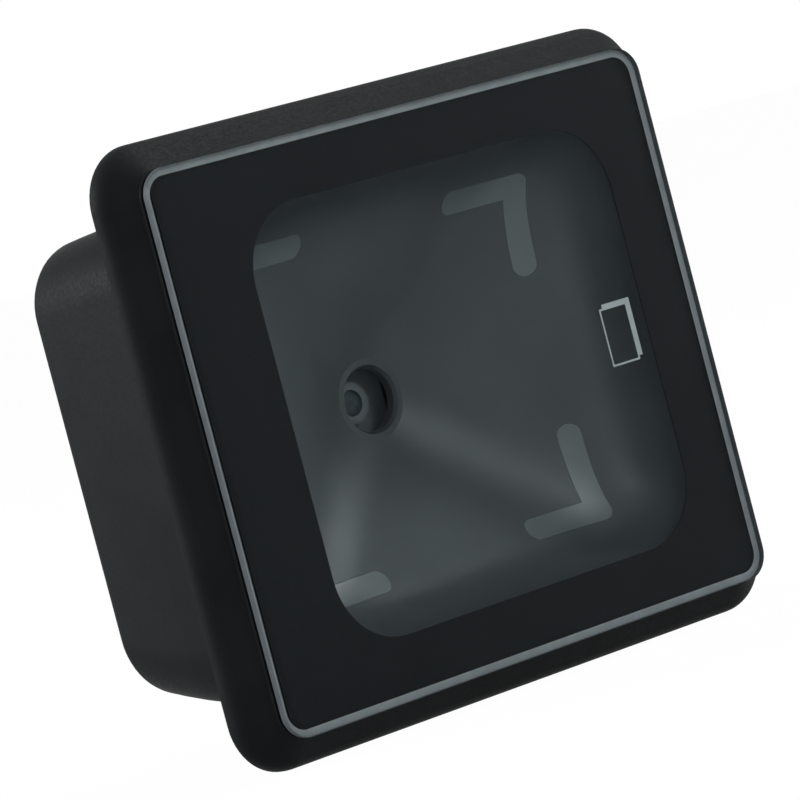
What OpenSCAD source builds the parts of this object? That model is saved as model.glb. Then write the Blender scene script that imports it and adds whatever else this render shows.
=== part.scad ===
// Fixed barcode reader: a flanged box with a glass window, a funnel-shaped light hood
// and a small camera behind it. Millimetres, +Z up, the window faces -Y.
// The origin is the centre of the flange's rear face, which seats on the panel.
// Every piece is drawn face up, with z towards the viewer, and then stood upright.

/* [Flange] */
// Width of the flange
flange_w = 78.7; // [76:0.1:90]
// Height of the flange
flange_h = 67.8; // [66:0.1:80]
// Corner radius of the flange
flange_r = 6.3; // [5.6:0.1:9]
// Thickness of the flange's straight edge
flange_edge = 1.5; // [1.4:0.1:2]
// Radius of the rounding from that edge to the shoulder
edge_round = 2.4; // [1:0.1:2.6]
// Height of the sloped shoulder from the flange's edge to the glass
shoulder_h = 2.75; // [2.6:0.05:4.5]
// Height of the straight lip at the top of the shoulder
lip_h = 0.4; // [0.2:0.1:0.8]
// Depth of the recess in the flange's rear face
recess_depth = 2; // [1.9:0.1:2.3]
// How far the shoulder slopes in to the glass
shoulder_in = 3.2; // [2.6:0.1:3.8]

/* [Window] */
// Thickness of the window glass
glass_t = 1.1; // [0.8:0.1:3]
// Width of the rounded front edge of the glass
glass_edge_w = 0.9; // [0.5:0.1:1.4]
// How far that edge falls away from the front face
glass_edge_drop = 0.35; // [0.2:0.05:0.6]
// Thickness of the mask film
mask_t = 0.1; // [0.05:0.05:0.2]
// Distance from the glass's outline to the mask at the sides
mask_inset_side = 1.1; // [0.5:0.1:1.6]
// Distance from the glass's outline to the mask at the top and bottom
mask_inset_top = 0.85; // [0.5:0.05:1.6]
// Thickness of the adhesive tape
tape_t = 0.3; // [0.2:0.1:0.6]
// Distance from the glass's outline to the tape
tape_inset = 0.4; // [0.1:0.1:0.8]
// Black border at each side of the clear window
border_side = 9.7; // [9.2:0.1:12]
// Black border above and below the clear window
border_top = 6.8; // [6.6:0.1:9]
// Corner radius of the clear window
window_r = 8; // [6:0.1:12]
// Sideways shift of the clear window, the hood and the camera
optics_shift = 1.8; // [0:0.1:2]

/* [Light hood] */
// Wall of the hood
hood_wall = 0.8; // [0.7:0.05:0.9]
// How far the hood's mouth stands out past the clear window
mouth_margin = 0.3; // [0.2:0.05:0.35]
// Length of the straight wall at the mouth
mouth_wall = 1.5; // [1:0.1:2]
// Depth of the funnel from that wall to the camera's ring
funnel_depth = 16.4; // [15.5:0.1:17]
// Share of that depth which the steep rim of the bowl takes
bowl_share = 0.35; // [0.25:0.01:0.4]
// Sharpness of the turn from the rim to the cone
bowl_power = 12; // [8:1:16]
// Distance of the funnel's four flat faces from the ring, at the ring's level
face_start = 0.6; // [0.3:0.1:1.2]
// Sharpness of the creases between those faces and the cone
crease = 18; // [10:1:30]
// Thickness of the hood's flange
hood_flange_t = 1.2; // [1:0.1:1.3]
// Radius of the hole that the camera looks through
hole_r = 3.6; // [3:0.1:4]
// Radius of the bevelled ring around that hole
ring_r = 4.6; // [4.4:0.1:5.4]
// Depth of the ring's bevel
ring_bevel = 0.6; // [0.3:0.1:0.9]
// Thickness of the hood's nose around the hole
nose_t = 1.5; // [1.2:0.1:2]

/* [Light guides] */
// Length of each guide's sideways arm
guide_arm_x = 11; // [9:0.1:12]
// Length of each guide's upright arm
guide_arm_y = 11.4; // [9:0.1:11.8]
// Width of the arms
guide_width = 2.5; // [2:0.1:3]
// Distance from the mouth's side to the guide
guide_inset_x = 5.2; // [4.6:0.1:6]
// Distance from the mouth's top or bottom to the guide
guide_inset_y = 4.2; // [3.8:0.1:5.5]

/* [Rear housing] */
// Distance from the clear window to the side of the box
box_side = 4.3; // [4.2:0.1:5]
// Distance from the clear window to the top of the box, on average with the bottom
box_over = 3.1; // [3:0.05:4]
// How far the box sits below the flange's centre
box_drop = 0.8; // [0.5:0.1:0.9]
// Corner radius of the box
box_r = 7.5; // [6.5:0.1:9]
// Wall of the box
box_wall = 1.5; // [1.4:0.1:1.6]
// Wall of the tongue at the box's front edge
tongue_t = 0.8; // [0.6:0.1:0.9]
// Depth at which the box starts to taper
taper_start = 13.5; // [10:0.1:16]
// How far each side of the box tapers in
taper_side = 0.5; // [0.3:0.1:1.2]
// How far the top of the box tapers in
taper_top = 1; // [0.5:0.1:1.4]
// How far the bottom of the box tapers in
taper_bottom = 2.3; // [1:0.1:2.6]
// Bend of the taper: 1 is straight, more is curved
taper_curve = 1.4; // [1:0.1:2]
// Radius of the box's rear edge
rear_edge_r = 1.4; // [0.6:0.1:1.8]
// Thickness of the gasket under the housing's edge
seal_t = 0.5; // [0.3:0.1:0.6]

/* [Fixings] */
// Distance of the ears' screws above and below the centre
ear_y = 12; // [9:0.5:16]
// Wall left between an ear's end and the flange's edge
ear_rim = 1.3; // [1.1:0.1:1.6]
// Radius of the housing screws
housing_screw_r = 1; // [0.8:0.05:1.1]
// Length of the housing screws
housing_screw_l = 3.7; // [3:0.1:3.9]
// Radius of the housing screws' heads
housing_head_r = 2; // [1.6:0.1:2.2]
// Height of the housing screws' countersunk heads
housing_head_h = 1; // [0.7:0.1:1.2]
// Distance of the mounting inserts from the flange's edges
mount_inset = 5.25; // [5.2:0.05:6]
// Outer radius of the mounting inserts
insert_r = 2.1; // [1.9:0.05:2.3]
// Length of the mounting inserts
insert_l = 3; // [2.6:0.1:3.4]
// Bore radius of the mounting inserts, for an M3 thread
insert_bore_r = 1.25; // [1.2:0.01:1.35]

/* [Boards] */
// Thickness of the circuit boards
board_t = 1; // [0.8:0.1:1.2]
// Gap from the boards to the housing's wall
board_gap = 1; // [0.6:0.1:1.6]
// Distance of the illumination board in front of the camera's ring
lamp_board_lift = 2.4; // [1.6:0.1:3]
// Height of the light-emitting diodes
led_h = 0.8; // [0.6:0.1:1]
// Width of the light-emitting diodes
led_w = 2.2; // [1.6:0.1:2.4]
// Gap from the diodes to the light guides
led_gap = 0.3; // [0.2:0.1:0.6]
// Distance of the boards' posts from the mouth's sides
post_inset = 4.2; // [4:0.1:5]
// Distance of the posts above and below the centre
post_y = 5.4; // [4:0.1:5.6]
// Radius of the posts and spacers
post_r = 2.2; // [2:0.1:2.3]
// Radius of the board screws
board_screw_r = 1; // [0.8:0.05:1.1]
// Length of the board screws' thread in the posts
board_screw_bite = 2.6; // [2:0.1:3]
// Radius of the board screws' heads
board_head_r = 1.9; // [1.7:0.1:2.1]
// Height of the board screws' heads
board_head_h = 1.3; // [1:0.1:1.5]

/* [Camera] */
// Distance from the ring to the lens barrel's front
lens_back = 3.3; // [2.6:0.1:3.6]
// Radius of the barrel's nose
lens_nose_r = 2.4; // [2:0.1:3]
// Length of the barrel's nose
lens_nose_l = 1; // [0.8:0.1:1.4]
// Radius of the barrel's threaded body
lens_body_r = 3.8; // [3.4:0.1:4.4]
// Radius of the front lens
front_lens_r = 1.5; // [1.2:0.1:1.8]
// Radius of the front lens's curve
front_lens_curve = 2.6; // [2:0.1:4]
// Depth of the seat of the front lens
front_lens_seat = 0.6; // [0.4:0.1:0.8]
// Width of the lens holder
holder_w = 11; // [10:0.1:13]
// Height of the lens holder
holder_h = 3.2; // [2.8:0.1:3.6]
// Width of the image sensor
sensor_w = 5.4; // [4:0.1:6.4]
// Thickness of the image sensor
sensor_t = 0.6; // [0.4:0.1:0.9]

/* [Electronics] */
// Width of the decoder chip
chip_w = 11; // [8:0.5:12]
// Thickness of the chips
chip_t = 1.1; // [0.8:0.1:1.4]
// Radius of the buzzer
buzzer_r = 4.5; // [4:0.1:5]
// Gap from the buzzer to the housing's rear wall
buzzer_gap = 1.35; // [0.6:0.05:6]
// Height of the buzzer
buzzer_h = 2.6; // [2:0.1:3]
// Width of the data socket
socket_w = 8.94; // [8.8:0.01:9.1]
// Height of the data socket
socket_h = 3.26; // [3.1:0.01:3.3]
// Metal thickness of the data socket
socket_wall = 0.3; // [0.2:0.05:0.4]
// Distance of the data socket below the centre
socket_drop = 13; // [11:0.5:15]
// Length of the header between the boards
header_w = 14; // [10:0.5:16]

/* [Hidden] */
$fn = 64;

// Clearance of pieces that slide into each other
fit = 0.15;
// Clearance of the light guides in their slots
guide_fit = 0.1;
// Clearance of screws in plain holes
screw_fit = 0.15;
// Room left in front of a screw or an insert in its blind hole
blind_room = 0.3;
// Overlap that lets a cut run past a face
cut = 1;

// Levels, counted from the seat face towards the viewer
bezel_front = flange_edge + shoulder_h + lip_h;
tape_front = bezel_front + tape_t;
mask_front = tape_front + mask_t;
hood_front = tape_front - guide_fit;
bowl_z = hood_front - mouth_wall;
ring_z = bowl_z - funnel_depth;
nose_z = ring_z - nose_t;
lamp_board_z = ring_z + lamp_board_lift;
lens_z = ring_z - lens_back;
lens_body_z = lens_z - lens_nose_l;
decoder_z = lens_body_z - holder_h;
decoder_rear = decoder_z - board_t;
box_depth = buzzer_h + buzzer_gap + box_wall - decoder_rear;
rear_z = -box_depth;
rim_z = recess_depth - hood_flange_t - seal_t;

// Outlines
glass_w = flange_w - 2 * shoulder_in;
glass_h = flange_h - 2 * shoulder_in;
glass_r = flange_r - shoulder_in;
window_w = glass_w - 2 * border_side;
window_h = glass_h - 2 * border_top;
mouth_w = window_w + 2 * mouth_margin;
mouth_h = window_h + 2 * mouth_margin;
mouth_r = window_r + mouth_margin;
opening_w = mouth_w + 2 * (hood_wall + fit);
opening_h = mouth_h + 2 * (hood_wall + fit);
opening_r = mouth_r + hood_wall + fit;
box_w = window_w + 2 * box_side;
box_h = window_h + 2 * box_over;
hood_drop = 1.2 * hood_wall;
corner_reach = norm([mouth_w / 2 - mouth_r, mouth_h / 2 - mouth_r]) + mouth_r;

// Places
ear_x = (box_w + flange_w) / 4;
ear_r = (flange_w - box_w) / 4 - ear_rim;
mount_x = flange_w / 2 - mount_inset;
mount_y = flange_h / 2 - mount_inset;
post_x = mouth_w / 2 - post_inset;
guide_x = mouth_w / 2 - guide_inset_x;
guide_y = mouth_h / 2 - guide_inset_y;
guide_z = lamp_board_z + led_h + led_gap;
board_w = box_w - 2 * (box_wall + taper_side + board_gap);
lamp_board_h = 2 * (guide_y + guide_width);
decoder_board_h = lamp_board_h - 2;

// Number of points around the funnel, and of rings down it
funnel_sides = 48;
funnel_rings = 10;

function blend(a, b, t) = a + (b - a) * t;

// Distance from the centre to a rounded rectangle's outline, in the direction of angle
function reach(angle, a, b, r) =
    let (c = abs(cos(angle)), s = abs(sin(angle)), p = c * (a - r) + s * (b - r))
    let (q = pow(a - r, 2) + pow(b - r, 2) - r * r)
    s * a <= c * (b - r) ? a / c :
    c * b <= s * (a - r) ? b / s : p + sqrt(p * p - q);

// Share of the funnel's depth at a contour, from 1 at the ring to 0 at the mouth
function depth_share(s) = (1 - bowl_share) * (1 - s) + bowl_share * (1 - pow(s, bowl_power));

// Contour at a share of the depth, found by halving the interval
function contour_at(share, low = 0, high = 1, steps = 24) =
    let (middle = (low + high) / 2)
    steps == 0 ? middle :
    depth_share(middle) > share ? contour_at(share, middle, high, steps - 1)
        : contour_at(share, low, middle, steps - 1);

// Half sizes of a contour between its flat faces
function face_x(s) = blend(ring_r + face_start, mouth_w / 2, s);
function face_y(s) = blend(ring_r + face_start, mouth_h / 2, s);

// Distance to a contour: a cone that four flat faces cut, and the window's outline at the mouth
function funnel_reach(angle, s) =
    let (c = abs(cos(angle)) / face_x(s), v = abs(sin(angle)) / face_y(s))
    let (w = 1 / blend(ring_r, corner_reach, s))
    blend(pow(pow(c, crease) + pow(v, crease) + pow(w, crease), -1 / crease),
        reach(angle, face_x(s), face_y(s), mouth_r * s), pow(s, 6));

// Directions in which the rings have their points
angles = [for (k = [0:funnel_sides - 1]) 360 * (k + 0.5) / funnel_sides];

// One ring of points on a rounded rectangle of half sizes a and b
function ring_points(a, b, r, z) = [
    for (angle = angles) let (d = reach(angle, a, b, r)) [d * cos(angle), d * sin(angle), z]];

// A contour of the funnel, grown outwards and moved down
function funnel_ring(s, grow, drop) = [
    for (angle = angles) let (d = funnel_reach(angle, s) + grow)
        [d * cos(angle), d * sin(angle), bowl_z - funnel_depth * depth_share(s) - drop]];

// Contours from the mouth to the ring, close together at the steep rim
contours = [for (i = [0:funnel_rings]) 1 - pow(i / funnel_rings, 1.5)];

// Closed solid through rings of points, from the top ring to the bottom ring
module lofted(rings) {
    n = len(rings[0]);
    last = len(rings) - 1;
    share = [for (k = [1:n]) 1 / n];
    points = concat([for (ring = rings) each ring], [share * rings[0], share * rings[last]]);
    walls = [for (i = [0:last - 1], k = [0:n - 1]) let (m = (k + 1) % n)
        each [[i * n + k, i * n + m, (i + 1) * n + m], [i * n + k, (i + 1) * n + m, (i + 1) * n + k]]];
    caps = [for (k = [0:n - 1]) let (m = (k + 1) % n, top = (last + 1) * n)
        each [[m, k, top], [last * n + k, last * n + m, top + 1]]];
    polyhedron(points, concat(walls, caps));
}

module upright() {
    rotate([90, 0, 0]) children();
}

module rounded(w, h, r) {
    square([w - 2 * r, h], center = true);
    square([w, h - 2 * r], center = true);
    for (x = [-1, 1], y = [-1, 1])
        translate([x * (w / 2 - r), y * (h / 2 - r)]) circle(r);
}

module rounded_frame(w, h, r, hole_w, hole_h, hole_corner) {
    difference() {
        rounded(w, h, r);
        rounded(hole_w, hole_h, hole_corner);
    }
}

// Plate whose edge has a drawn profile, swept round a rounded rectangle.
// The profile's x runs from the corner's centre out to the outline.
module edge_swept(w, h, r, t) {
    x = w / 2 - r;
    y = h / 2 - r;
    translate([-x, -y, 0]) cube([2 * x, 2 * y, t]);
    for (turn = [0, 180]) rotate([0, 0, turn]) {
        translate([x, 0, 0]) rotate([90, 0, 0]) linear_extrude(2 * y, center = true) children();
        rotate([0, 0, 90]) translate([y, 0, 0]) rotate([90, 0, 0])
            linear_extrude(2 * x, center = true) children();
        translate([x, y, 0]) rotate_extrude(angle = 90) children();
        translate([-x, y, 0]) rotate([0, 0, 90]) rotate_extrude(angle = 90) children();
    }
}

// Moves a piece of the optics to their shared axis
module on_axis() {
    translate([optics_shift, 0, 0]) children();
}

module at_four(x, y) {
    for (i = [-1, 1], j = [-1, 1]) translate([i * x, j * y, 0]) children();
}

// Half-profile of the bezel's edge: straight flange edge, rounding, shoulder and lip
module bezel_edge() {
    slope = atan(shoulder_in / shoulder_h);
    t = edge_round * tan(slope / 2);
    polygon([[0, 0], [flange_r, 0], [flange_r, flange_edge - t],
        [flange_r - t * sin(slope), flange_edge + t * cos(slope)], [glass_r, bezel_front - lip_h],
        [glass_r, bezel_front], [0, bezel_front]]);
    intersection() {
        square([flange_r, bezel_front]);
        translate([flange_r - edge_round, flange_edge - t]) circle(edge_round);
    }
}

// Half-profile of the glass's edge: a front face that rolls off in an arc
module glass_edge() {
    flat = glass_r - glass_edge_w;
    arc_r = (pow(glass_edge_w, 2) + pow(glass_edge_drop, 2)) / (2 * glass_edge_drop);
    intersection() {
        square([glass_r, glass_t]);
        union() {
            square([flat, glass_t]);
            translate([flat, glass_t - arc_r]) circle(arc_r);
        }
    }
}

// Outline of one ear, from inside the box's wall to its round end
module ear_plan(grow = 0) {
    translate([ear_x, 0]) circle(ear_r + grow);
    translate([box_w / 2 - tongue_t / 2, -ear_r - grow])
        square([ear_x - box_w / 2 + tongue_t / 2, 2 * (ear_r + grow)]);
}

module at_ears() {
    for (i = [0, 1], j = [-1, 1]) mirror([i, 0, 0]) translate([0, j * ear_y, 0]) children();
}

module front_bezel() {
    color("#1b1c1e") upright() difference() {
        edge_swept(flange_w, flange_h, flange_r, bezel_front) bezel_edge();
        on_axis() translate([0, 0, -cut]) linear_extrude(bezel_front + 2 * cut)
            rounded(opening_w, opening_h, opening_r);
        translate([0, -box_drop, -cut]) linear_extrude(recess_depth + cut)
            rounded(box_w + 2 * fit, box_h + 2 * fit, box_r + fit);
        at_ears() {
            translate([0, 0, -cut]) linear_extrude(flange_edge + cut) ear_plan(fit);
            translate([ear_x, 0, 0]) cylinder(r = housing_screw_r, h = housing_screw_l + blind_room);
        }
        at_four(mount_x, mount_y) translate([0, 0, -cut])
            cylinder(r = insert_r, h = insert_l + blind_room + cut);
    }
}

module window_glass() {
    color("#cfd6d8", 0.35) upright() translate([0, 0, mask_front])
        edge_swept(glass_w, glass_h, glass_r, glass_t) glass_edge();
}

module window_mask() {
    color("#101112") upright() translate([0, 0, tape_front]) linear_extrude(mask_t) difference() {
        rounded(glass_w - 2 * mask_inset_side, glass_h - 2 * mask_inset_top, glass_r - mask_inset_side);
        on_axis() rounded(window_w, window_h, window_r);
    }
}

module window_tape() {
    color("#1a1a1a") upright() translate([0, 0, bezel_front]) linear_extrude(tape_t) difference() {
        rounded(glass_w - 2 * tape_inset, glass_h - 2 * tape_inset, glass_r - tape_inset);
        on_axis() rounded(opening_w, opening_h, opening_r);
    }
}

// The air inside the hood: mouth, bowl, cone, bevelled ring and camera hole
module funnel_air() {
    mouth = ring_points(mouth_w / 2, mouth_h / 2, mouth_r, hood_front + cut);
    hole = [for (z = [ring_z - ring_bevel, nose_z - cut]) ring_points(hole_r, hole_r, hole_r, z)];
    lofted(concat([mouth], [for (s = contours) funnel_ring(s, 0, 0)], hole));
}

// The outside of the hood's moulding, from the mouth's rim to the nose
module funnel_shell() {
    rim = ring_points(mouth_w / 2 + hood_wall, mouth_h / 2 + hood_wall, mouth_r + hood_wall, hood_front);
    nose = ring_points(ring_r + hood_wall, ring_r + hood_wall, ring_r + hood_wall, nose_z);
    lofted(concat([rim], [for (s = contours) funnel_ring(s, hood_wall, hood_drop)], [nose]));
}

// L-shaped plan of the guide at the top right, with round ends
module guide_plan(grow = 0) {
    r = guide_width / 2;
    x = guide_x - r;
    y = guide_y - r;
    end_x = guide_x - guide_arm_x + r;
    end_y = guide_y - guide_arm_y + r;
    for (p = [[x, y], [end_x, y], [x, end_y]]) translate(p) circle(r + grow);
    translate([end_x, y - r - grow]) square([x - end_x, 2 * (r + grow)]);
    translate([x - r - grow, end_y]) square([2 * (r + grow), y - end_y]);
}

module light_hood() {
    flange_inset = tongue_t + fit;
    color("#3a3d3f") upright() difference() {
        union() {
            on_axis() funnel_shell();
            translate([0, -box_drop, recess_depth - hood_flange_t]) linear_extrude(hood_flange_t)
                rounded(box_w - 2 * flange_inset, box_h - 2 * flange_inset, box_r - flange_inset);
            on_axis() at_four(post_x, post_y) translate([0, 0, lamp_board_z])
                cylinder(r = post_r, h = -lamp_board_z);
        }
        on_axis() {
            funnel_air();
            for (i = [0, 1], j = [0, 1]) mirror([i, 0, 0]) mirror([0, j, 0])
                translate([0, 0, guide_z]) linear_extrude(bowl_z - guide_z) guide_plan(guide_fit);
            at_four(post_x, post_y) translate([0, 0, lamp_board_z - cut])
                cylinder(r = board_screw_r, h = board_screw_bite + blind_room + cut);
        }
    }
}

// One light guide: an L-shaped prism whose front follows the funnel
module light_guide(left, bottom) {
    color("#8d9496") upright() on_axis() difference() {
        mirror([left, 0, 0]) mirror([0, bottom, 0])
            translate([0, 0, guide_z]) linear_extrude(bowl_z - guide_z) guide_plan();
        funnel_air();
    }
}

module light_guide_top_left() {
    light_guide(1, 0);
}

module light_guide_top_right() {
    light_guide(0, 0);
}

module light_guide_bottom_left() {
    light_guide(1, 1);
}

module light_guide_bottom_right() {
    light_guide(0, 1);
}

module board_holes() {
    on_axis() at_four(post_x, post_y) translate([0, 0, -cut])
        cylinder(r = board_screw_r + screw_fit, h = board_t + 2 * cut);
}

module illumination_board() {
    s = contour_at((bowl_z - hood_drop - lamp_board_z) / funnel_depth);
    room = hood_wall + 2 * fit;
    color("#1f5a3a") upright() translate([0, 0, lamp_board_z - board_t]) difference() {
        linear_extrude(board_t) rounded(board_w, lamp_board_h, guide_width);
        on_axis() translate([0, 0, -cut]) linear_extrude(board_t + 2 * cut)
            rounded(2 * (face_x(s) + room), 2 * (face_y(s) + room), ring_r + room);
        board_holes();
    }
}

module illumination_leds() {
    r = guide_width / 2;
    x = guide_x - r;
    y = guide_y - r;
    places = [[x, y], [x - guide_arm_x / 2, y], [x, y - guide_arm_y / 2]];
    color("#e8dfa0") upright() on_axis() for (i = [-1, 1], j = [-1, 1], p = places)
        translate([i * p[0] - led_w / 2, j * p[1] - led_w / 2, lamp_board_z]) cube([led_w, led_w, led_h]);
}

module lens_barrel() {
    body_l = lens_body_z - decoder_z - 2 * sensor_t;
    color("#202224") upright() on_axis() difference() {
        union() {
            translate([0, 0, lens_body_z]) cylinder(r = lens_nose_r, h = lens_nose_l);
            translate([0, 0, lens_body_z - body_l]) cylinder(r = lens_body_r, h = body_l);
        }
        translate([0, 0, lens_z - front_lens_seat]) cylinder(r = front_lens_r, h = front_lens_seat + cut);
        translate([0, 0, lens_body_z - body_l - cut])
            cylinder(r = front_lens_r * 0.8, h = body_l + lens_nose_l + cut);
    }
}

module front_lens() {
    color("#9fb4c8", 0.5) upright() on_axis() translate([0, 0, lens_z - front_lens_seat]) intersection() {
        cylinder(r = front_lens_r, h = 2 * front_lens_seat);
        translate([0, 0, front_lens_seat - front_lens_curve]) sphere(front_lens_curve);
    }
}

module lens_holder() {
    color("#26282a") upright() on_axis() translate([0, 0, decoder_z]) difference() {
        linear_extrude(holder_h) rounded(holder_w, holder_w, holder_w / 10);
        translate([0, 0, -cut]) cylinder(r = lens_body_r, h = holder_h + 2 * cut);
    }
}

module image_sensor() {
    color("#3d4a57") upright() on_axis() translate([-sensor_w / 2, -sensor_w / 2, decoder_z])
        cube([sensor_w, sensor_w, sensor_t]);
}

module decoder_board() {
    color("#1f5a3a") upright() translate([0, 0, decoder_rear]) difference() {
        linear_extrude(board_t) rounded(board_w, decoder_board_h, guide_width);
        board_holes();
    }
}

// Decoder, memory, power regulator and interface driver on the decoder board's rear
module decoder_chips() {
    places = [[-0.5, 0.55, 1], [-0.5, -0.55, 0.7], [0.55, -0.35, 0.6], [0.1, 0.6, 0.45]];
    color("#17181a") upright() for (p = places)
        translate([p[0] * post_x, p[1] * decoder_board_h / 2, decoder_rear - chip_t / 2])
            cube([p[2] * chip_w, p[2] * chip_w, chip_t], center = true);
}

module buzzer() {
    color("#141516") upright() translate([post_x / 2, decoder_board_h / 4, decoder_rear - buzzer_h])
        difference() {
            cylinder(r = buzzer_r, h = buzzer_h);
            translate([0, 0, -cut]) cylinder(r = buzzer_r / 5, h = buzzer_h / 2 + cut);
        }
}

module board_header() {
    gap = lamp_board_z - board_t - decoder_z;
    color("#2a2b2d") upright() translate([-header_w / 2, guide_y - guide_width, decoder_z]) {
        cube([header_w, 2 * guide_width, gap / 2]);
        translate([guide_width / 2, guide_width / 2, 0]) cube([header_w - guide_width, guide_width, gap]);
    }
}

module board_spacers() {
    length = lamp_board_z - board_t - decoder_z;
    color("#b58b3c") upright() on_axis() at_four(post_x, post_y) translate([0, 0, decoder_z]) difference() {
        cylinder(r = post_r, h = length);
        translate([0, 0, -cut]) cylinder(r = board_screw_r + screw_fit, h = length + 2 * cut);
    }
}

module board_screws() {
    length = lamp_board_z + board_screw_bite - decoder_rear;
    color("#9a9da0") upright() on_axis() at_four(post_x, post_y) translate([0, 0, decoder_rear]) {
        cylinder(r = board_screw_r, h = length);
        translate([0, 0, -board_head_h]) difference() {
            cylinder(r = board_head_r, h = board_head_h);
            for (turn = [0, 90]) rotate([0, 0, turn]) translate([-board_head_r * 0.6, -0.25, -cut])
                cube([board_head_r * 1.2, 0.5, cut + board_head_h / 2]);
        }
    }
}

module slot_plan(w, h) {
    square([w - h, h], center = true);
    for (x = [-1, 1]) translate([x * (w - h) / 2, 0]) circle(h / 2);
}

module data_socket() {
    length = decoder_rear - rear_z - guide_fit;
    color("#a9acae") upright() translate([0, -socket_drop, decoder_rear - length]) difference() {
        linear_extrude(length) slot_plan(socket_w, socket_h);
        translate([0, 0, -cut]) linear_extrude(length - 2 * socket_wall + cut)
            slot_plan(socket_w - 2 * socket_wall, socket_h - 2 * socket_wall);
    }
}

module socket_tongue() {
    length = decoder_rear - rear_z - guide_fit;
    width = socket_w - socket_h;
    color("#17181a") upright() translate([0, -socket_drop, decoder_rear - 2 * socket_wall]) mirror([0, 0, 1])
        linear_extrude(length - 5 * socket_wall) square([width, socket_h / 5], center = true);
}

// Share of the taper at a depth behind the seat face
function taper_at(depth) = pow(max(0, depth - taper_start) / (box_depth - taper_start), taper_curve);

// One ring of points round the box at a depth, set in from its outline
function box_ring(depth, inset, steps) =
    let (t = taper_at(depth), r = box_r - inset, x = box_w / 2 - t * taper_side - box_r)
    let (top = box_h / 2 - box_drop - t * taper_top - box_r)
    let (bottom = -box_h / 2 - box_drop + t * taper_bottom + box_r)
    [for (q = [0:3], i = [0:steps]) let (angle = 90 * (q + i / steps))
        [(q == 0 || q == 3 ? x : -x) + r * cos(angle), (q < 2 ? top : bottom) + r * sin(angle), -depth]];

// Solid of the box: straight at the front, then tapered, with a rounded rear edge
module box_form(front, depth, inset, edge, steps, edge_steps) {
    taper_l = depth - edge - taper_start;
    straight = [box_ring(-front, inset, steps)];
    tapered = [for (i = [0:3]) box_ring(taper_start + i * taper_l / 4, inset, steps)];
    rounded_edge = [for (i = [0:edge_steps]) let (a = 90 * i / edge_steps)
        box_ring(depth - edge * (1 - sin(a)), inset + edge * (1 - cos(a)), steps)];
    lofted(concat(straight, tapered, rounded_edge));
}

module rear_housing() {
    color("#202224") upright() difference() {
        union() {
            box_form(recess_depth, box_depth, 0, rear_edge_r, 14, 5);
            at_ears() linear_extrude(flange_edge) ear_plan();
        }
        box_form(rim_z + cut, box_depth - box_wall, box_wall, rear_edge_r / 2, 8, 2);
        translate([0, -box_drop, rim_z]) linear_extrude(recess_depth - rim_z + cut)
            rounded(box_w - 2 * tongue_t, box_h - 2 * tongue_t, box_r - tongue_t);
        translate([0, -socket_drop, rear_z - cut]) linear_extrude(box_wall + 2 * cut)
            slot_plan(socket_w + 4 * fit, socket_h + 4 * fit);
        at_ears() translate([ear_x, 0, 0]) {
            translate([0, 0, -cut]) cylinder(r = housing_screw_r + screw_fit, h = flange_edge + 2 * cut);
            cylinder(r1 = housing_head_r, r2 = housing_screw_r, h = housing_head_h);
        }
    }
}

module housing_seal() {
    outer = tongue_t + fit;
    color("#0e0e0f") upright() translate([0, -box_drop, rim_z]) linear_extrude(seal_t)
        rounded_frame(box_w - 2 * outer, box_h - 2 * outer, box_r - outer,
            box_w - 2 * box_wall, box_h - 2 * box_wall, box_r - box_wall);
}

module housing_screws() {
    recess = housing_head_r * 0.6;
    color("#2a2c2e") upright() at_ears() translate([ear_x, 0, 0]) difference() {
        union() {
            cylinder(r1 = housing_head_r, r2 = housing_screw_r, h = housing_head_h);
            cylinder(r = housing_screw_r, h = housing_screw_l);
        }
        for (turn = [0, 90]) rotate([0, 0, turn]) translate([-recess, -0.25, -cut])
            cube([2 * recess, 0.5, cut + housing_head_h / 2]);
    }
}

// Brass insert with a groove round its middle, pressed into the flange from behind
module mount_inserts() {
    groove = insert_l / 5;
    waist = insert_r - groove / 3;
    color("#b58b3c") upright() at_four(mount_x, mount_y) rotate_extrude() polygon([
        [insert_bore_r, 0], [insert_r, 0], [insert_r, 2 * groove], [waist, 2 * groove],
        [waist, 3 * groove], [insert_r, 3 * groove], [insert_r, insert_l], [insert_bore_r, insert_l]]);
}

front_bezel();
window_glass();
window_mask();
window_tape();
light_hood();
light_guide_top_left();
light_guide_top_right();
light_guide_bottom_left();
light_guide_bottom_right();
illumination_board();
illumination_leds();
lens_barrel();
front_lens();
lens_holder();
image_sensor();
decoder_board();
decoder_chips();
buzzer();
board_header();
board_spacers();
board_screws();
data_socket();
socket_tongue();
rear_housing();
housing_seal();
housing_screws();
mount_inserts();
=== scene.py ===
import bmesh
import bpy
import math
from mathutils import Matrix, Vector


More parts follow.
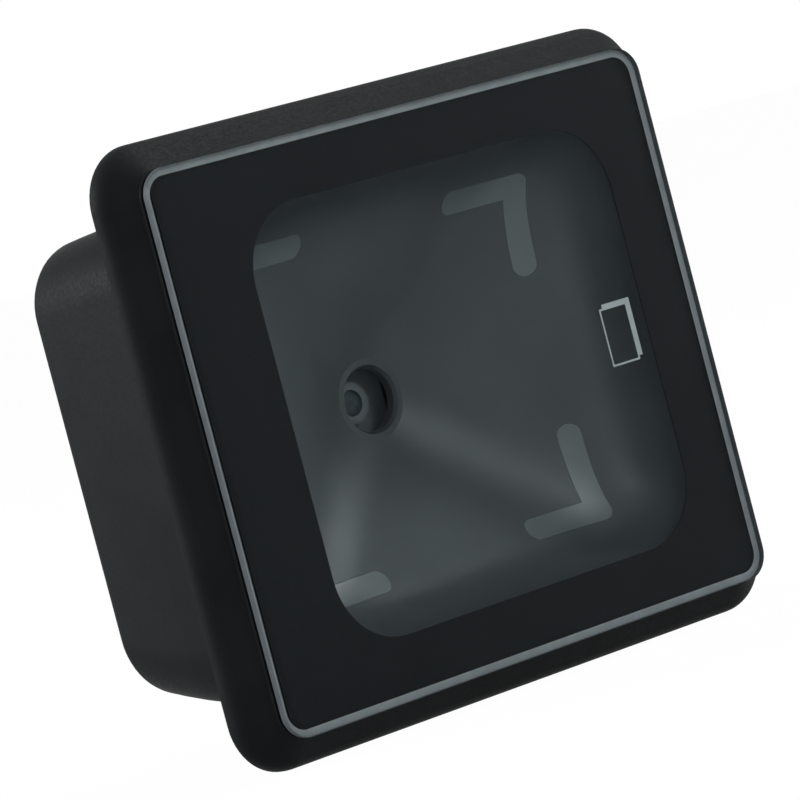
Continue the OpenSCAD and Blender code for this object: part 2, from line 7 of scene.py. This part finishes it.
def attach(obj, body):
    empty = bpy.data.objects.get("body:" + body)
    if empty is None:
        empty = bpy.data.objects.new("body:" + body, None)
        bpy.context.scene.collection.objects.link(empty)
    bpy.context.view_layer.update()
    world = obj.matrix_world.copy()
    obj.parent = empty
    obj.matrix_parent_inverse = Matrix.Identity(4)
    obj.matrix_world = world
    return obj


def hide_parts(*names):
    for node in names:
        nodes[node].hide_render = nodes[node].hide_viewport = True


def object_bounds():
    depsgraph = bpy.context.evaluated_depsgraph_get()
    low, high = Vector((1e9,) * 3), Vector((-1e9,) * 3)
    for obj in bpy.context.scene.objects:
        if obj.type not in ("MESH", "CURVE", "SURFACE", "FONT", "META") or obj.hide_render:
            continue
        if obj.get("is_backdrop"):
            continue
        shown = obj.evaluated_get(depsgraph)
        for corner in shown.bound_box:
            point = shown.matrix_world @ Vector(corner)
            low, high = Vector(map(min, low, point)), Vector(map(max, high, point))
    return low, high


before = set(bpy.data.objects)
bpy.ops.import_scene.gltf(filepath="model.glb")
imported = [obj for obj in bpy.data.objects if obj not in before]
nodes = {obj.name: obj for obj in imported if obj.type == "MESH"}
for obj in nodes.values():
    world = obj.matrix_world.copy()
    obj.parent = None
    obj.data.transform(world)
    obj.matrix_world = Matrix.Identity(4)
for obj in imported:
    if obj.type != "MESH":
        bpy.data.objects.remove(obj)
cad_low, cad_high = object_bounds()

# Rear housing: the black box behind the flange, with two ears at each side.
# Injection-moulded ABS with a fine spark-eroded texture, fixed to the bezel by four screws.
MM = 0.001
WELD_MM = 0.002
NOISE_LOW, NOISE_HIGH = 0.3, 0.7
PATCH_DETAIL, GRAIN_DETAIL, BUMP = 4.0, 2.0, 0.5
# The mix node's colour sockets go by number, because its other sockets have the same names.
MIX_SHARE, MIX_DARK, MIX_LIGHT, MIX_COLOUR = 0, 6, 7, 2


def linear(colour):
    """An sRGB hex colour as linear red, green, blue and alpha."""
    parts = [int(colour[i:i + 2], 16) / 255 for i in (1, 3, 5)]
    return [c / 12.92 if c <= 0.04045 else ((c + 0.055) / 1.055) ** 2.4 for c in parts] + [1.0]


def add(tree, kind, inputs=None, **settings):
    """A new node with its settings, and its inputs set to values or linked to sockets."""
    made = tree.nodes.new(kind)
    for name, value in settings.items():
        setattr(made, name, value)
    for socket, value in (inputs or {}).items():
        if isinstance(value, bpy.types.NodeSocket):
            tree.links.new(value, made.inputs[socket])
        else:
            made.inputs[socket].default_value = value
    return made


def surface(name, dark, light, patch_mm, rough, grain_mm, depth_mm, **shader):
    """A material whose colour drifts in patches and whose roughness and height follow a fine grain.

    The grain is drawn coarser than the real one, so that it shows.
    """
    material = bpy.data.materials.new(name)
    material.use_nodes = True
    tree = material.node_tree
    tree.nodes.clear()
    place = add(tree, "ShaderNodeTexCoord").outputs["Object"]
    patches = add(tree, "ShaderNodeTexNoise",
                  {"Vector": place, "Scale": 1 / (patch_mm * MM), "Detail": PATCH_DETAIL})
    grain = add(tree, "ShaderNodeTexNoise",
                {"Vector": place, "Scale": 1 / (grain_mm * MM), "Detail": GRAIN_DETAIL})
    drift = add(tree, "ShaderNodeMapRange",
                {"Value": patches.outputs["Fac"], "From Min": NOISE_LOW, "From Max": NOISE_HIGH})
    colour = add(tree, "ShaderNodeMix",
                 {MIX_SHARE: drift.outputs[0], MIX_DARK: linear(dark), MIX_LIGHT: linear(light)},
                 data_type="RGBA")
    sheen = add(tree, "ShaderNodeMapRange",
                {"Value": grain.outputs["Fac"], "From Min": NOISE_LOW, "From Max": NOISE_HIGH,
                 "To Min": rough[0], "To Max": rough[1]})
    bump = add(tree, "ShaderNodeBump",
               {"Height": grain.outputs["Fac"], "Strength": BUMP, "Distance": depth_mm * MM})
    values = {key.replace("_", " "): value for key, value in shader.items()}
    skin = add(tree, "ShaderNodeBsdfPrincipled",
               {"Base Color": colour.outputs[MIX_COLOUR], "Roughness": sheen.outputs[0],
                "Normal": bump.outputs["Normal"], **values})
    add(tree, "ShaderNodeOutputMaterial", {"Surface": skin.outputs["BSDF"]})
    return material


def dress(thing, material):
    """One material on a thing, in place of those it had."""
    thing.data.materials.clear()
    thing.data.materials.append(material)


def placed(name, mesh, material, slot, *stands_for):
    """A finished piece at the origin that rides on the part's one body."""
    data = bpy.data.meshes.new(name)
    mesh.to_mesh(data)
    mesh.free()
    piece = bpy.data.objects.new(name, data)
    bpy.context.scene.collection.objects.link(piece)
    data.materials.append(material)
    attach(piece, "root")
    if stands_for:
        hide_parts(*stands_for)
    return piece


def smoothed(mesh, degrees):
    """Smooth faces, with the edges sharper than an angle kept sharp."""
    for face in mesh.faces:
        face.smooth = True
    for edge in mesh.edges:
        edge.smooth = edge.is_manifold and edge.calc_face_angle(0) < math.radians(degrees)


# Textured ABS scatters light softly and has little gloss.
black_abs = surface("black_textured_ABS", "#0e1011", "#121415", patch_mm=9, rough=(0.48, 0.62),
                    grain_mm=0.35, depth_mm=0.02, Specular_IOR_Level=0.028, IOR=1.5)
housing = bmesh.new()
housing.from_mesh(nodes["rear_housing"].data)
bmesh.ops.remove_doubles(housing, verts=housing.verts, dist=WELD_MM * MM)
smoothed(housing, degrees=32)
placed("housing_shell", housing, black_abs, "housing_plastic", "rear_housing")

# Data socket: a shell of drawn stainless sheet with a black tongue inside.
# It is soldered to the rear of the decoder board and ends flush with the housing's rear wall.
# Drawn sheet mirrors the room softly and brightly.
stainless = surface("drawn_stainless_sheet", "#a9abad", "#c2c4c5", patch_mm=2, rough=(0.22, 0.34),
                    grain_mm=0.15, depth_mm=0.002, Metallic=1.0)
dress(nodes["data_socket"], stainless)
# Moulding compound is dull and nearly black.
moulding_black = surface("black_moulding_compound", "#1b1c1d", "#232425", patch_mm=3, rough=(0.45, 0.6),
                         grain_mm=0.2, depth_mm=0.008, Specular_IOR_Level=0.3)
dress(nodes["socket_tongue"], moulding_black)

# Boards: glass-fibre laminate with chips, a buzzer and a header, and small diodes on the front one.
# Brass spacers and four screws stack them on the hood's posts.
for name in ("decoder_chips", "buzzer", "board_header"):
    dress(nodes[name], moulding_black)
# Solder mask is a dark green with some gloss.
solder_mask = surface("green_solder_mask_laminate", "#0c2a1b", "#143c27", patch_mm=1.2, rough=(0.3, 0.42),
                      grain_mm=0.4, depth_mm=0.01, IOR=1.5)
for name in ("illumination_board", "decoder_board"):
    dress(nodes[name], solder_mask)
# Phosphor is a pale yellow while the diodes are off.
phosphor = surface("yellow_phosphor_silicone", "#d9cf93", "#efe7bb", patch_mm=0.8, rough=(0.35, 0.45),
                   grain_mm=0.2, depth_mm=0.01)
dress(nodes["illumination_leds"], phosphor)
# Turned brass gives warm, blurred reflections.
brass = surface("turned_brass", "#a8843f", "#c6a35c", patch_mm=1.5, rough=(0.25, 0.38),
                grain_mm=0.12, depth_mm=0.003, Metallic=1.0)
dress(nodes["board_spacers"], brass)
# Zinc plating gives grey, blurred reflections.
zinc = surface("zinc_plated_steel", "#8d9092", "#a7aaac", patch_mm=1.5, rough=(0.28, 0.4),
               grain_mm=0.15, depth_mm=0.003, Metallic=1.0)
dress(nodes["board_screws"], zinc)

# Camera: a small lens barrel screwed into a holder over the image sensor.
# The barrel and holder are matt black mouldings, and the front lens is coated glass.
# The moulding is black, but its colour is painted paler as painted light, because little light reaches it
# through the hole.
lens_black_painted_paler = surface("matt_black_lens_moulding_painted_paler", "#565a5e", "#5e6266", patch_mm=1.5, rough=(0.4, 0.55),
                     grain_mm=0.15, depth_mm=0.006, Specular_IOR_Level=0.3)
for name in ("lens_barrel", "lens_holder"):
    dress(nodes[name], lens_black_painted_paler)
# The coating takes away most of the gloss, so the lens is a dark grey disc.
coated = surface("coated_lens_glass", "#3a4146", "#444b50", patch_mm=0.8, rough=(0.2, 0.26),
                 grain_mm=0.3, depth_mm=0.0005, Specular_IOR_Level=0.08)
dress(nodes["front_lens"], coated)
# The sensor's cover glass is smooth and mirrors sharply.
sensor_glass = surface("sensor_cover_glass", "#2d3a46", "#394956", patch_mm=0.6, rough=(0.06, 0.1),
                       grain_mm=0.3, depth_mm=0.0005, IOR=1.5)
dress(nodes["image_sensor"], sensor_glass)

# Light hood: the funnel that leads from the window to the camera's hole.
# One satin grey ABS moulding: a cone that four flat faces cut, a steep rim and L-shaped slots.
# Its flange is clamped under the bezel, and its four posts carry the boards.
scene = bpy.context.scene
AXIS, BOX_DROP, OVERCUT = 1.8, 0.8, 1.0
MOUTH_X, MOUTH_Y, MOUTH_R, MOUTH_POWER = 26.75, 24.2, 8.3, 6
RING_R, HOLE_R, LIP, FACE_START, CREASE = 4.6, 3.6, 0.3, 0.6, 18
BOWL_Z, FUNNEL, RIM_SHARE, RIM_POWER, HOOD_FRONT = 3.35, 16.4, 0.35, 12, 4.85
RING_RISE, LIP_DROP, HOLE_DEPTH, NOSE_DEPTH = 0.05, 0.4, 3.0, 1.5
WALL, WALL_DROP = 0.8, 0.96
FLANGE_X, FLANGE_Y, FLANGE_R, FLANGE_Z, FLANGE_T = 29.8, 26.05, 6.55, 0.8, 1.2
RING_Z = BOWL_Z - FUNNEL
BOARD_Z = RING_Z + 2.4
GUIDE_X, GUIDE_Y, GUIDE_W, ARM_X, ARM_Y = 21.55, 20.0, 2.5, 11.0, 11.4
GUIDE_Z, GUIDE_FIT, END_FLAT = BOARD_Z + 1.1, 0.03, 0.01
POST_X, POST_Y, POST_R, POST_TOP = 22.55, 5.4, 2.2, 1.0
SCREW_R, SCREW_DEPTH = 1.0, 2.9
AROUND, ALONG, POST_STEPS, CORNER_STEPS = 192, 72, 32, 12


def blend(start, end, share):
    return start + (end - start) * share


def rounded_reach(angle, half_w, half_h, radius):
    """Distance from the centre to a rounded rectangle's outline."""
    sideways, upwards = abs(math.cos(angle)), abs(math.sin(angle))
    inner_w, inner_h = half_w - radius, half_h - radius
    if upwards * half_w <= sideways * inner_h:
        return half_w / sideways
    if sideways * half_h <= upwards * inner_w:
        return half_h / upwards
    along = sideways * inner_w + upwards * inner_h
    return along + math.sqrt(along ** 2 - inner_w ** 2 - inner_h ** 2 + radius ** 2)


def funnel_reach(angle, share):
    """Distance from the axis to the funnel's skin, from 0 at the ring to 1 at the mouth."""
    wide = blend(RING_R + FACE_START, MOUTH_X, share)
    tall = blend(RING_R + FACE_START, MOUTH_Y, share)
    cone = blend(RING_R, math.hypot(MOUTH_X - MOUTH_R, MOUTH_Y - MOUTH_R) + MOUTH_R, share)
    ways = (abs(math.cos(angle)) / wide, abs(math.sin(angle)) / tall, 1 / cone)
    cut_cone = sum(way ** CREASE for way in ways) ** (-1 / CREASE)
    return blend(cut_cone, rounded_reach(angle, wide, tall, MOUTH_R * share), share ** MOUTH_POWER)


def funnel_level(share):
    """Height of the funnel's skin: an even slope, and a steep rise near the mouth."""
    return BOWL_Z - FUNNEL * ((1 - RIM_SHARE) * (1 - share) + RIM_SHARE * (1 - share ** RIM_POWER))


def funnel(grow, drop, mouth_z, nose):
    """A closed solid with the funnel's outline.

    Its mouth rises to a level, and its ring ends in a nose of steps with a scale and a level each.
    """
    mesh = bmesh.new()
    for level in (0.0, 1.0):
        ring = bmesh.ops.create_circle(mesh, segments=AROUND, radius=1.0)["verts"]
        bmesh.ops.translate(mesh, vec=(0, 0, level), verts=ring)
    sides = bmesh.ops.bridge_loops(mesh, edges=mesh.edges[:])["edges"]
    bmesh.ops.subdivide_edges(mesh, edges=sides, cuts=ALONG)
    for vert in mesh.verts:
        angle, share = math.atan2(vert.co.y, vert.co.x), min(max(vert.co.z, 0.0), 1.0)
        reach = funnel_reach(angle, share) + grow
        vert.co = (reach * math.cos(angle), reach * math.sin(angle), funnel_level(share) - drop)
    half_way = (BOWL_Z + RING_Z) / 2 - drop
    mouth = [v for v in mesh.verts if v.is_boundary and v.co.z > half_way]
    ring = [v for v in mesh.verts if v.is_boundary and v.co.z < half_way]
    for rim, steps in ((mouth, ((1.0, mouth_z),)), (ring, nose)):
        for scale, level in steps:
            on_rim = set(rim)
            edges = [e for e in mesh.edges if e.is_boundary and e.verts[0] in on_rim]
            made = bmesh.ops.extrude_edge_only(mesh, edges=edges)["geom"]
            rim = [v for v in made if isinstance(v, bmesh.types.BMVert)]
            bmesh.ops.scale(mesh, vec=(scale, scale, 1), verts=rim)
            for vert in rim:
                vert.co.z = level
    bmesh.ops.holes_fill(mesh, edges=[e for e in mesh.edges if e.is_boundary])
    bmesh.ops.recalc_face_normals(mesh, faces=mesh.faces)
    return mesh


def guide_prism(mesh, grow, left, bottom):
    """An L-shaped bar with round ends, from the rim's level back to its diodes."""
    far_x, far_y = GUIDE_X + grow, GUIDE_Y + grow
    near_x, near_y = GUIDE_X - GUIDE_W - grow, GUIDE_Y - GUIDE_W - grow
    end_x, end_y = GUIDE_X - ARM_X - grow, GUIDE_Y - ARM_Y - grow
    plan = ((end_x, far_y), (far_x, far_y), (far_x, end_y),
            (near_x, end_y), (near_x, near_y), (end_x, near_y))
    corners = [mesh.verts.new((x, y, GUIDE_Z)) for x, y in plan]
    mesh.faces.new(corners)
    round_r = GUIDE_W / 2 + grow - END_FLAT
    made = bmesh.ops.bevel(mesh, geom=corners[:4] + corners[5:], offset=round_r, offset_type="OFFSET",
                           affect="VERTICES", segments=CORNER_STEPS, profile=0.5, material=-1)
    face = made["verts"][0].link_faces[0]
    top = bmesh.ops.extrude_face_region(mesh, geom=[face])["geom"]
    verts = {v for v in top if isinstance(v, bmesh.types.BMVert)}
    bmesh.ops.translate(mesh, vec=(0, 0, BOWL_Z - GUIDE_Z), verts=list(verts))
    verts |= set(face.verts)
    bmesh.ops.scale(mesh, vec=(-1 if left else 1, -1 if bottom else 1, 1), verts=list(verts))
    bmesh.ops.recalc_face_normals(mesh, faces=mesh.faces)


def combined(solid, tool, operation="DIFFERENCE"):
    """One solid with another cut out of it, or joined to it."""
    things = []
    for mesh in (solid, tool):
        data = bpy.data.meshes.new("cut")
        mesh.to_mesh(data)
        things.append(bpy.data.objects.new("cut", data))
        scene.collection.objects.link(things[-1])
    step = things[0].modifiers.new("cut", "BOOLEAN")
    step.operation, step.solver, step.object = operation, "EXACT", things[1]
    bpy.context.view_layer.update()
    made = bmesh.new()
    made.from_object(things[0], bpy.context.evaluated_depsgraph_get())
    solid.free()
    for thing in things:
        bpy.data.objects.remove(thing)
    return made


def plate(mesh, half_w, half_h, radius, level, steps=CORNER_STEPS):
    """A flat face with the outline of a rounded rectangle."""
    made = bmesh.ops.create_grid(mesh, x_segments=1, y_segments=1, size=1.0)["verts"]
    bmesh.ops.scale(mesh, vec=(half_w, half_h, 1), verts=made)
    bmesh.ops.translate(mesh, vec=(0, 0, level), verts=made)
    made = bmesh.ops.bevel(mesh, geom=made, offset=radius, offset_type="OFFSET", affect="VERTICES",
                           segments=steps, profile=0.5, material=-1)
    return made["verts"][0].link_faces[0]


def upright(mesh, shift=0.0):
    """Stands a shape drawn face up in millimetres upright in the part's frame."""
    stand = Matrix.Rotation(math.pi / 2, 4, "X") @ Matrix.Scale(MM, 4) @ Matrix.Translation((shift, 0, 0))
    bmesh.ops.transform(mesh, matrix=stand, verts=mesh.verts)


# Satin ABS has a soft, broad sheen that shades from face to face.
hood_grey = surface("satin_grey_ABS", "#393d40", "#3f4346", patch_mm=7, rough=(0.36, 0.44),
                    grain_mm=0.3, depth_mm=0.006, Specular_IOR_Level=0.25, IOR=1.5)
air_nose = (((HOLE_R + LIP) / RING_R, RING_Z + RING_RISE),
            (HOLE_R / (HOLE_R + LIP), RING_Z - LIP_DROP),
            (1.0, RING_Z - HOLE_DEPTH))
air = funnel(grow=0.0, drop=0.0, mouth_z=HOOD_FRONT + OVERCUT, nose=air_nose)
flange, posts, screw_holes, slots = bmesh.new(), bmesh.new(), bmesh.new(), bmesh.new()
face = plate(flange, FLANGE_X, FLANGE_Y, FLANGE_R, FLANGE_Z)
bmesh.ops.translate(flange, vec=(-AXIS, -BOX_DROP, 0), verts=face.verts)
made = bmesh.ops.extrude_face_region(flange, geom=[face], use_keep_orig=True)["geom"]
raised = [v for v in made if isinstance(v, bmesh.types.BMVert)]
bmesh.ops.translate(flange, vec=(0, 0, FLANGE_T), verts=raised)
bmesh.ops.recalc_face_normals(flange, faces=flange.faces)
pins = ((posts, POST_R, BOARD_Z, POST_TOP),
        (screw_holes, SCREW_R, BOARD_Z - OVERCUT, BOARD_Z + SCREW_DEPTH))
for x in (-POST_X, POST_X):
    for y in (-POST_Y, POST_Y):
        for mesh, radius, low, high in pins:
            middle = Matrix.Translation((x, y, (low + high) / 2))
            bmesh.ops.create_cone(mesh, cap_ends=True, segments=POST_STEPS, radius1=radius, radius2=radius,
                                  depth=high - low, matrix=middle)
for left in (0, 1):
    for bottom in (0, 1):
        guide_prism(slots, GUIDE_FIT, left, bottom)
hood = funnel(grow=WALL, drop=WALL_DROP, mouth_z=HOOD_FRONT, nose=((1.0, RING_Z - NOSE_DEPTH),))
for tool, operation in ((flange, "UNION"), (posts, "UNION"), (air, "DIFFERENCE"), (slots, "DIFFERENCE"),
                        (screw_holes, "DIFFERENCE")):
    hood = combined(hood, tool, operation)
for tool in (flange, posts, slots, screw_holes):
    tool.free()
upright(hood, AXIS)
smoothed(hood, degrees=22)
placed("hood_funnel", hood, hood_grey, "hood_plastic", "light_hood")

# Light guides: four clear acrylic mouldings with frosted faces, set flush in the funnel.
# Each is an L that carries the light of three diodes to the funnel's corner.
# Frosted acrylic scatters light and is a little paler than the funnel round it.
frosted = surface("frosted_acrylic", "#464c4f", "#4e5457", patch_mm=3, rough=(0.36, 0.46),
                  grain_mm=0.25, depth_mm=0.006, Specular_IOR_Level=0.6, IOR=1.49)
for name, left, bottom in (("top_left", 1, 0), ("top_right", 0, 0),
                           ("bottom_left", 1, 1), ("bottom_right", 0, 1)):
    bar = bmesh.new()
    guide_prism(bar, 0.0, left, bottom)
    bar = combined(bar, air)
    upright(bar, AXIS)
    smoothed(bar, degrees=35)
    placed("guide_" + name, bar, frosted, "guide_plastic", "light_guide_" + name)
air.free()

# Housing seal: a flat ring of black sheet rubber under the housing's front edge.
# It is cut out with a knife and pressed between the hood's flange and the housing.
# Sheet rubber is dull and nearly black.
rubber = surface("black_sheet_rubber", "#17181a", "#1f2022", patch_mm=2, rough=(0.7, 0.85),
                 grain_mm=0.3, depth_mm=0.01, Specular_IOR_Level=0.2)
dress(nodes["housing_seal"], rubber)

# Front bezel: the frame with the flange and the sloped shoulder under the glass.
# The same textured black ABS as the housing, with brass inserts pressed in from behind.
# Four plated screws hold the housing's ears to it.
dress(nodes["front_bezel"], black_abs)
dress(nodes["mount_inserts"], brass)
dress(nodes["housing_screws"], zinc)

# Window: a float glass plate with a rounded front edge and a ground side, coated against reflections.
# Behind it lies a black screen-printed mask that leaves a bare margin along the edge.
# A ring of adhesive foam tape holds it in the bezel.
WHITE = "#ffffff"
GLOSS_ROUGH = 0.12


def clear_glass(name, tint, bounce_ior):
    """A glass that shows what lies behind it and mirrors a little, more at a flat angle."""
    material = bpy.data.materials.new(name)
    material.use_nodes = True
    tree = material.node_tree
    tree.nodes.clear()
    clear = add(tree, "ShaderNodeBsdfTransparent", {"Color": linear(tint)})
    gloss = add(tree, "ShaderNodeBsdfGlossy", {"Color": linear(WHITE), "Roughness": GLOSS_ROUGH})
    bounce = add(tree, "ShaderNodeFresnel", {"IOR": bounce_ior})
    mixed = add(tree, "ShaderNodeMixShader",
                {0: bounce.outputs[0], 1: clear.outputs[0], 2: gloss.outputs[0]})
    add(tree, "ShaderNodeOutputMaterial", {"Surface": mixed.outputs[0]})
    return material


# Foam tape is dull and black.
tape_black = surface("black_acrylic_foam_tape", "#131415", "#1a1b1c", patch_mm=1.5, rough=(0.75, 0.9),
                     grain_mm=0.2, depth_mm=0.01, Specular_IOR_Level=0.1)
dress(nodes["window_tape"], tape_black)
# Screen print is an even black with a faint sheen.
print_black = surface("black_screen_print", "#17181a", "#1a1b1d", patch_mm=12, rough=(0.3, 0.36),
                      grain_mm=0.5, depth_mm=0.001, Specular_IOR_Level=0.05)
dress(nodes["window_mask"], print_black)
# The coated faces show what lies behind them and hardly mirror.
coated_glass = clear_glass("coated_float_glass", "#f4f7f7", bounce_ior=1.05)
# The rounded edge shows the margin behind it, which is painted pale as a highlight.
rounded_edge = clear_glass("rounded_glass_edge", "#e8eded", bounce_ior=1.02)
# The ground side scatters light and is a dark grey band.
ground_edge = surface("ground_glass_edge", "#3e4245", "#464a4d", patch_mm=2, rough=(0.3, 0.4),
                      grain_mm=0.12, depth_mm=0.002, Specular_IOR_Level=0.03, IOR=1.5)
# The bare margin is painted a pale grey, a painted highlight that makes a pale line round the print.
painted_highlight_margin = surface("bare_glass_margin_painted_highlight", "#787c7f", "#828689", patch_mm=2, rough=(0.2, 0.3),
                      grain_mm=0.12, depth_mm=0.001, Specular_IOR_Level=0.03, IOR=1.5)
GLASS_X, GLASS_Y, GLASS_R, GLASS_Z, GLASS_T = 36.15, 30.7, 3.1, 5.06, 1.09
EDGE_W, EDGE_DROP, EDGE_STEPS, MARGIN = 0.9, 0.35, 8, 0.85
CLEAR, GROUND, BARE_HIGHLIGHT, ROUNDED = range(4)
glass = bmesh.new()
rear = plate(glass, GLASS_X, GLASS_Y, GLASS_R, GLASS_Z)
made = bmesh.ops.extrude_face_region(glass, geom=[rear], use_keep_orig=True)["geom"]
front = next(f for f in made if isinstance(f, bmesh.types.BMFace))
bmesh.ops.translate(glass, vec=(0, 0, GLASS_T - EDGE_DROP), verts=front.verts)
for face in glass.faces:
    face.material_index = GROUND if face not in (front, rear) else CLEAR
arc_r = (EDGE_W ** 2 + EDGE_DROP ** 2) / (2 * EDGE_DROP)
reaches = [EDGE_W * (1 - i / EDGE_STEPS) for i in range(EDGE_STEPS + 1)]
drops = [arc_r - math.sqrt(arc_r ** 2 - reach ** 2) for reach in reaches]
for high, low in zip(drops, drops[1:]):
    made = bmesh.ops.inset_region(glass, faces=[front], thickness=EDGE_W / EDGE_STEPS, depth=0.0,
                                  use_even_offset=True)
    bmesh.ops.translate(glass, vec=(0, 0, high - low), verts=front.verts)
    for face in made["faces"]:
        face.material_index = ROUNDED
# The margin on the rear face takes the pale grey of the painted highlight.
made = bmesh.ops.inset_region(glass, faces=[rear], thickness=MARGIN, depth=0.0, use_even_offset=True)
for face in made["faces"]:
    face.material_index = BARE_HIGHLIGHT
upright(glass)
bmesh.ops.recalc_face_normals(glass, faces=glass.faces)
smoothed(glass, degrees=35)
pane = placed("window_pane", glass, coated_glass, "window_glass", "window_glass")
for finish in (ground_edge, painted_highlight_margin, rounded_edge):
    pane.data.materials.append(finish)

# Card mark: two stacked cards that show where to hold a code, screen printed on the glass's rear face.
# Pale grey enamel ink, a few hundredths of a millimetre thick.
# Enamel ink is an even grey with little gloss.
ink = surface("pale_grey_enamel_ink", "#8f9395", "#9a9ea0", patch_mm=1.5, rough=(0.5, 0.6),
              grain_mm=0.2, depth_mm=0.002, Specular_IOR_Level=0.2)
CARD_X, CARD_Y, CARD_W, CARD_H, CARD_R = 23.85, -0.07, 2.12, 3.29, 0.15
LINE, INK_Z, INK_T, MARK_STEPS = 0.22, 5.02, 0.025, 4
SHIFT_X, SHIFT_Y = 0.52, 0.44
mark = bmesh.new()
edges = []
for inset in (0.0, LINE):
    face = plate(mark, CARD_W - inset, CARD_H - inset, CARD_R, INK_Z, MARK_STEPS)
    edges += list(face.edges)
    mark.faces.remove(face)
bmesh.ops.bridge_loops(mark, edges=edges)
left_x, right_x = SHIFT_X - CARD_W, SHIFT_X + CARD_W
low_y, high_y = SHIFT_Y - CARD_H, SHIFT_Y + CARD_H
behind = ((left_x, CARD_H), (left_x, high_y), (right_x, high_y),
          (right_x, low_y), (CARD_W, low_y), (CARD_W, CARD_H))
mark.faces.new([mark.verts.new((x, y, INK_Z)) for x, y in behind])
bmesh.ops.recalc_face_normals(mark, faces=mark.faces)
bmesh.ops.translate(mark, vec=(CARD_X, CARD_Y, 0), verts=mark.verts)
made = bmesh.ops.extrude_face_region(mark, geom=mark.faces[:], use_keep_orig=True)["geom"]
raised = [v for v in made if isinstance(v, bmesh.types.BMVert)]
bmesh.ops.translate(mark, vec=(0, 0, INK_T), verts=raised)
upright(mark)
bmesh.ops.recalc_face_normals(mark, faces=mark.faces)
placed("card_mark", mark, ink, "mask_film")

# Floor, light and camera: a pale studio with soft lamps.
# The background shows white to the camera and in reflections, and the floor keeps a soft shadow.
FLOOR_HALF, WHITE_SHARE, AMBIENT = 3.0, 0.98, 0.35
scene.view_settings.view_transform = "Standard"


def seen_share(tree):
    """One for what the camera sees, straight, mirrored or through glass, and nought for other light."""
    path = add(tree, "ShaderNodeLightPath")
    seen = path.outputs["Is Camera Ray"]
    for ray in ("Is Glossy Ray", "Is Transmission Ray"):
        seen = add(tree, "ShaderNodeMath", {0: seen, 1: path.outputs[ray]}, operation="MAXIMUM").outputs[0]
    return seen


floor_mesh = bmesh.new()
bmesh.ops.create_grid(floor_mesh, x_segments=1, y_segments=1, size=FLOOR_HALF)
bmesh.ops.translate(floor_mesh, vec=(0, 0, cad_low.z), verts=floor_mesh.verts)
floor_data = bpy.data.meshes.new("floor")
floor_mesh.to_mesh(floor_data)
floor_mesh.free()
floor = bpy.data.objects.new("floor", floor_data)
scene.collection.objects.link(floor)
floor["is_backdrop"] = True
# White paper is evenly bright, with a shadow that only just shows.
paper = bpy.data.materials.new("white_paper")
paper.use_nodes = True
tree = paper.node_tree
tree.nodes.clear()
share = add(tree, "ShaderNodeMath", {0: seen_share(tree), 1: WHITE_SHARE}, operation="MULTIPLY")
matt = add(tree, "ShaderNodeBsdfDiffuse", {"Color": linear("#c4c4c4")})
glow = add(tree, "ShaderNodeEmission", {"Color": linear(WHITE), "Strength": 1.0})
mixed = add(tree, "ShaderNodeMixShader", {0: share.outputs[0], 1: matt.outputs[0], 2: glow.outputs[0]})
add(tree, "ShaderNodeOutputMaterial", {"Surface": mixed.outputs[0]})
dress(floor, paper)

world = bpy.data.worlds.new("studio")
scene.world = world
world.use_nodes = True
tree = world.node_tree
tree.nodes.clear()
dim = add(tree, "ShaderNodeBackground", {"Color": linear(WHITE), "Strength": AMBIENT})
bright = add(tree, "ShaderNodeBackground", {"Color": linear(WHITE), "Strength": 1.0})
mixed = add(tree, "ShaderNodeMixShader", {0: seen_share(tree), 1: dim.outputs[0], 2: bright.outputs[0]})
add(tree, "ShaderNodeOutputWorld", {"Surface": mixed.outputs[0]})


def lamp(name, place, size, watts):
    """A square soft lamp that points at the part."""
    data = bpy.data.lights.new(name, "AREA")
    data.size = size
    data.energy = watts
    thing = bpy.data.objects.new(name, data)
    thing.location = place
    thing.rotation_euler = (-Vector(place)).to_track_quat("-Z", "Y").to_euler()
    scene.collection.objects.link(thing)


lamp("top_lamp", (0.5, -0.13, 0.86), size=0.5, watts=9)
lamp("front_lamp", (0.09, -0.91, 0.41), size=0.3, watts=2.9)
lamp("left_lamp", (-0.8, -0.5, 0.3), size=0.6, watts=3.4)
lamp("left_rear_lamp", (-0.65, 0.66, 0.32), size=0.5, watts=17)
lamp("right_lamp", (0.9, -0.38, 0.22), size=0.4, watts=5)

LENS_MM, SENSOR_MM = 244.0, 36
CAMERA_PLACE = (-0.38358, -0.44678, 0.02969)
CAMERA_BACK = (-0.64547, -0.76209, 0.05090)
ROLL_COS, ROLL_SIN = 0.9671, 0.2543
view = bpy.data.cameras.new("view")
view.lens = LENS_MM
view.sensor_width = SENSOR_MM
camera = bpy.data.objects.new("view", view)
back = Vector(CAMERA_BACK).normalized()
right = (-back).cross(Vector((0, 0, 1))).normalized()
up = right.cross(-back)
across = ROLL_COS * right - ROLL_SIN * up
over = ROLL_SIN * right + ROLL_COS * up
turn = Matrix((across, over, back)).transposed().to_4x4()
camera.matrix_world = Matrix.Translation(CAMERA_PLACE) @ turn
scene.collection.objects.link(camera)
scene.camera = camera

low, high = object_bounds()
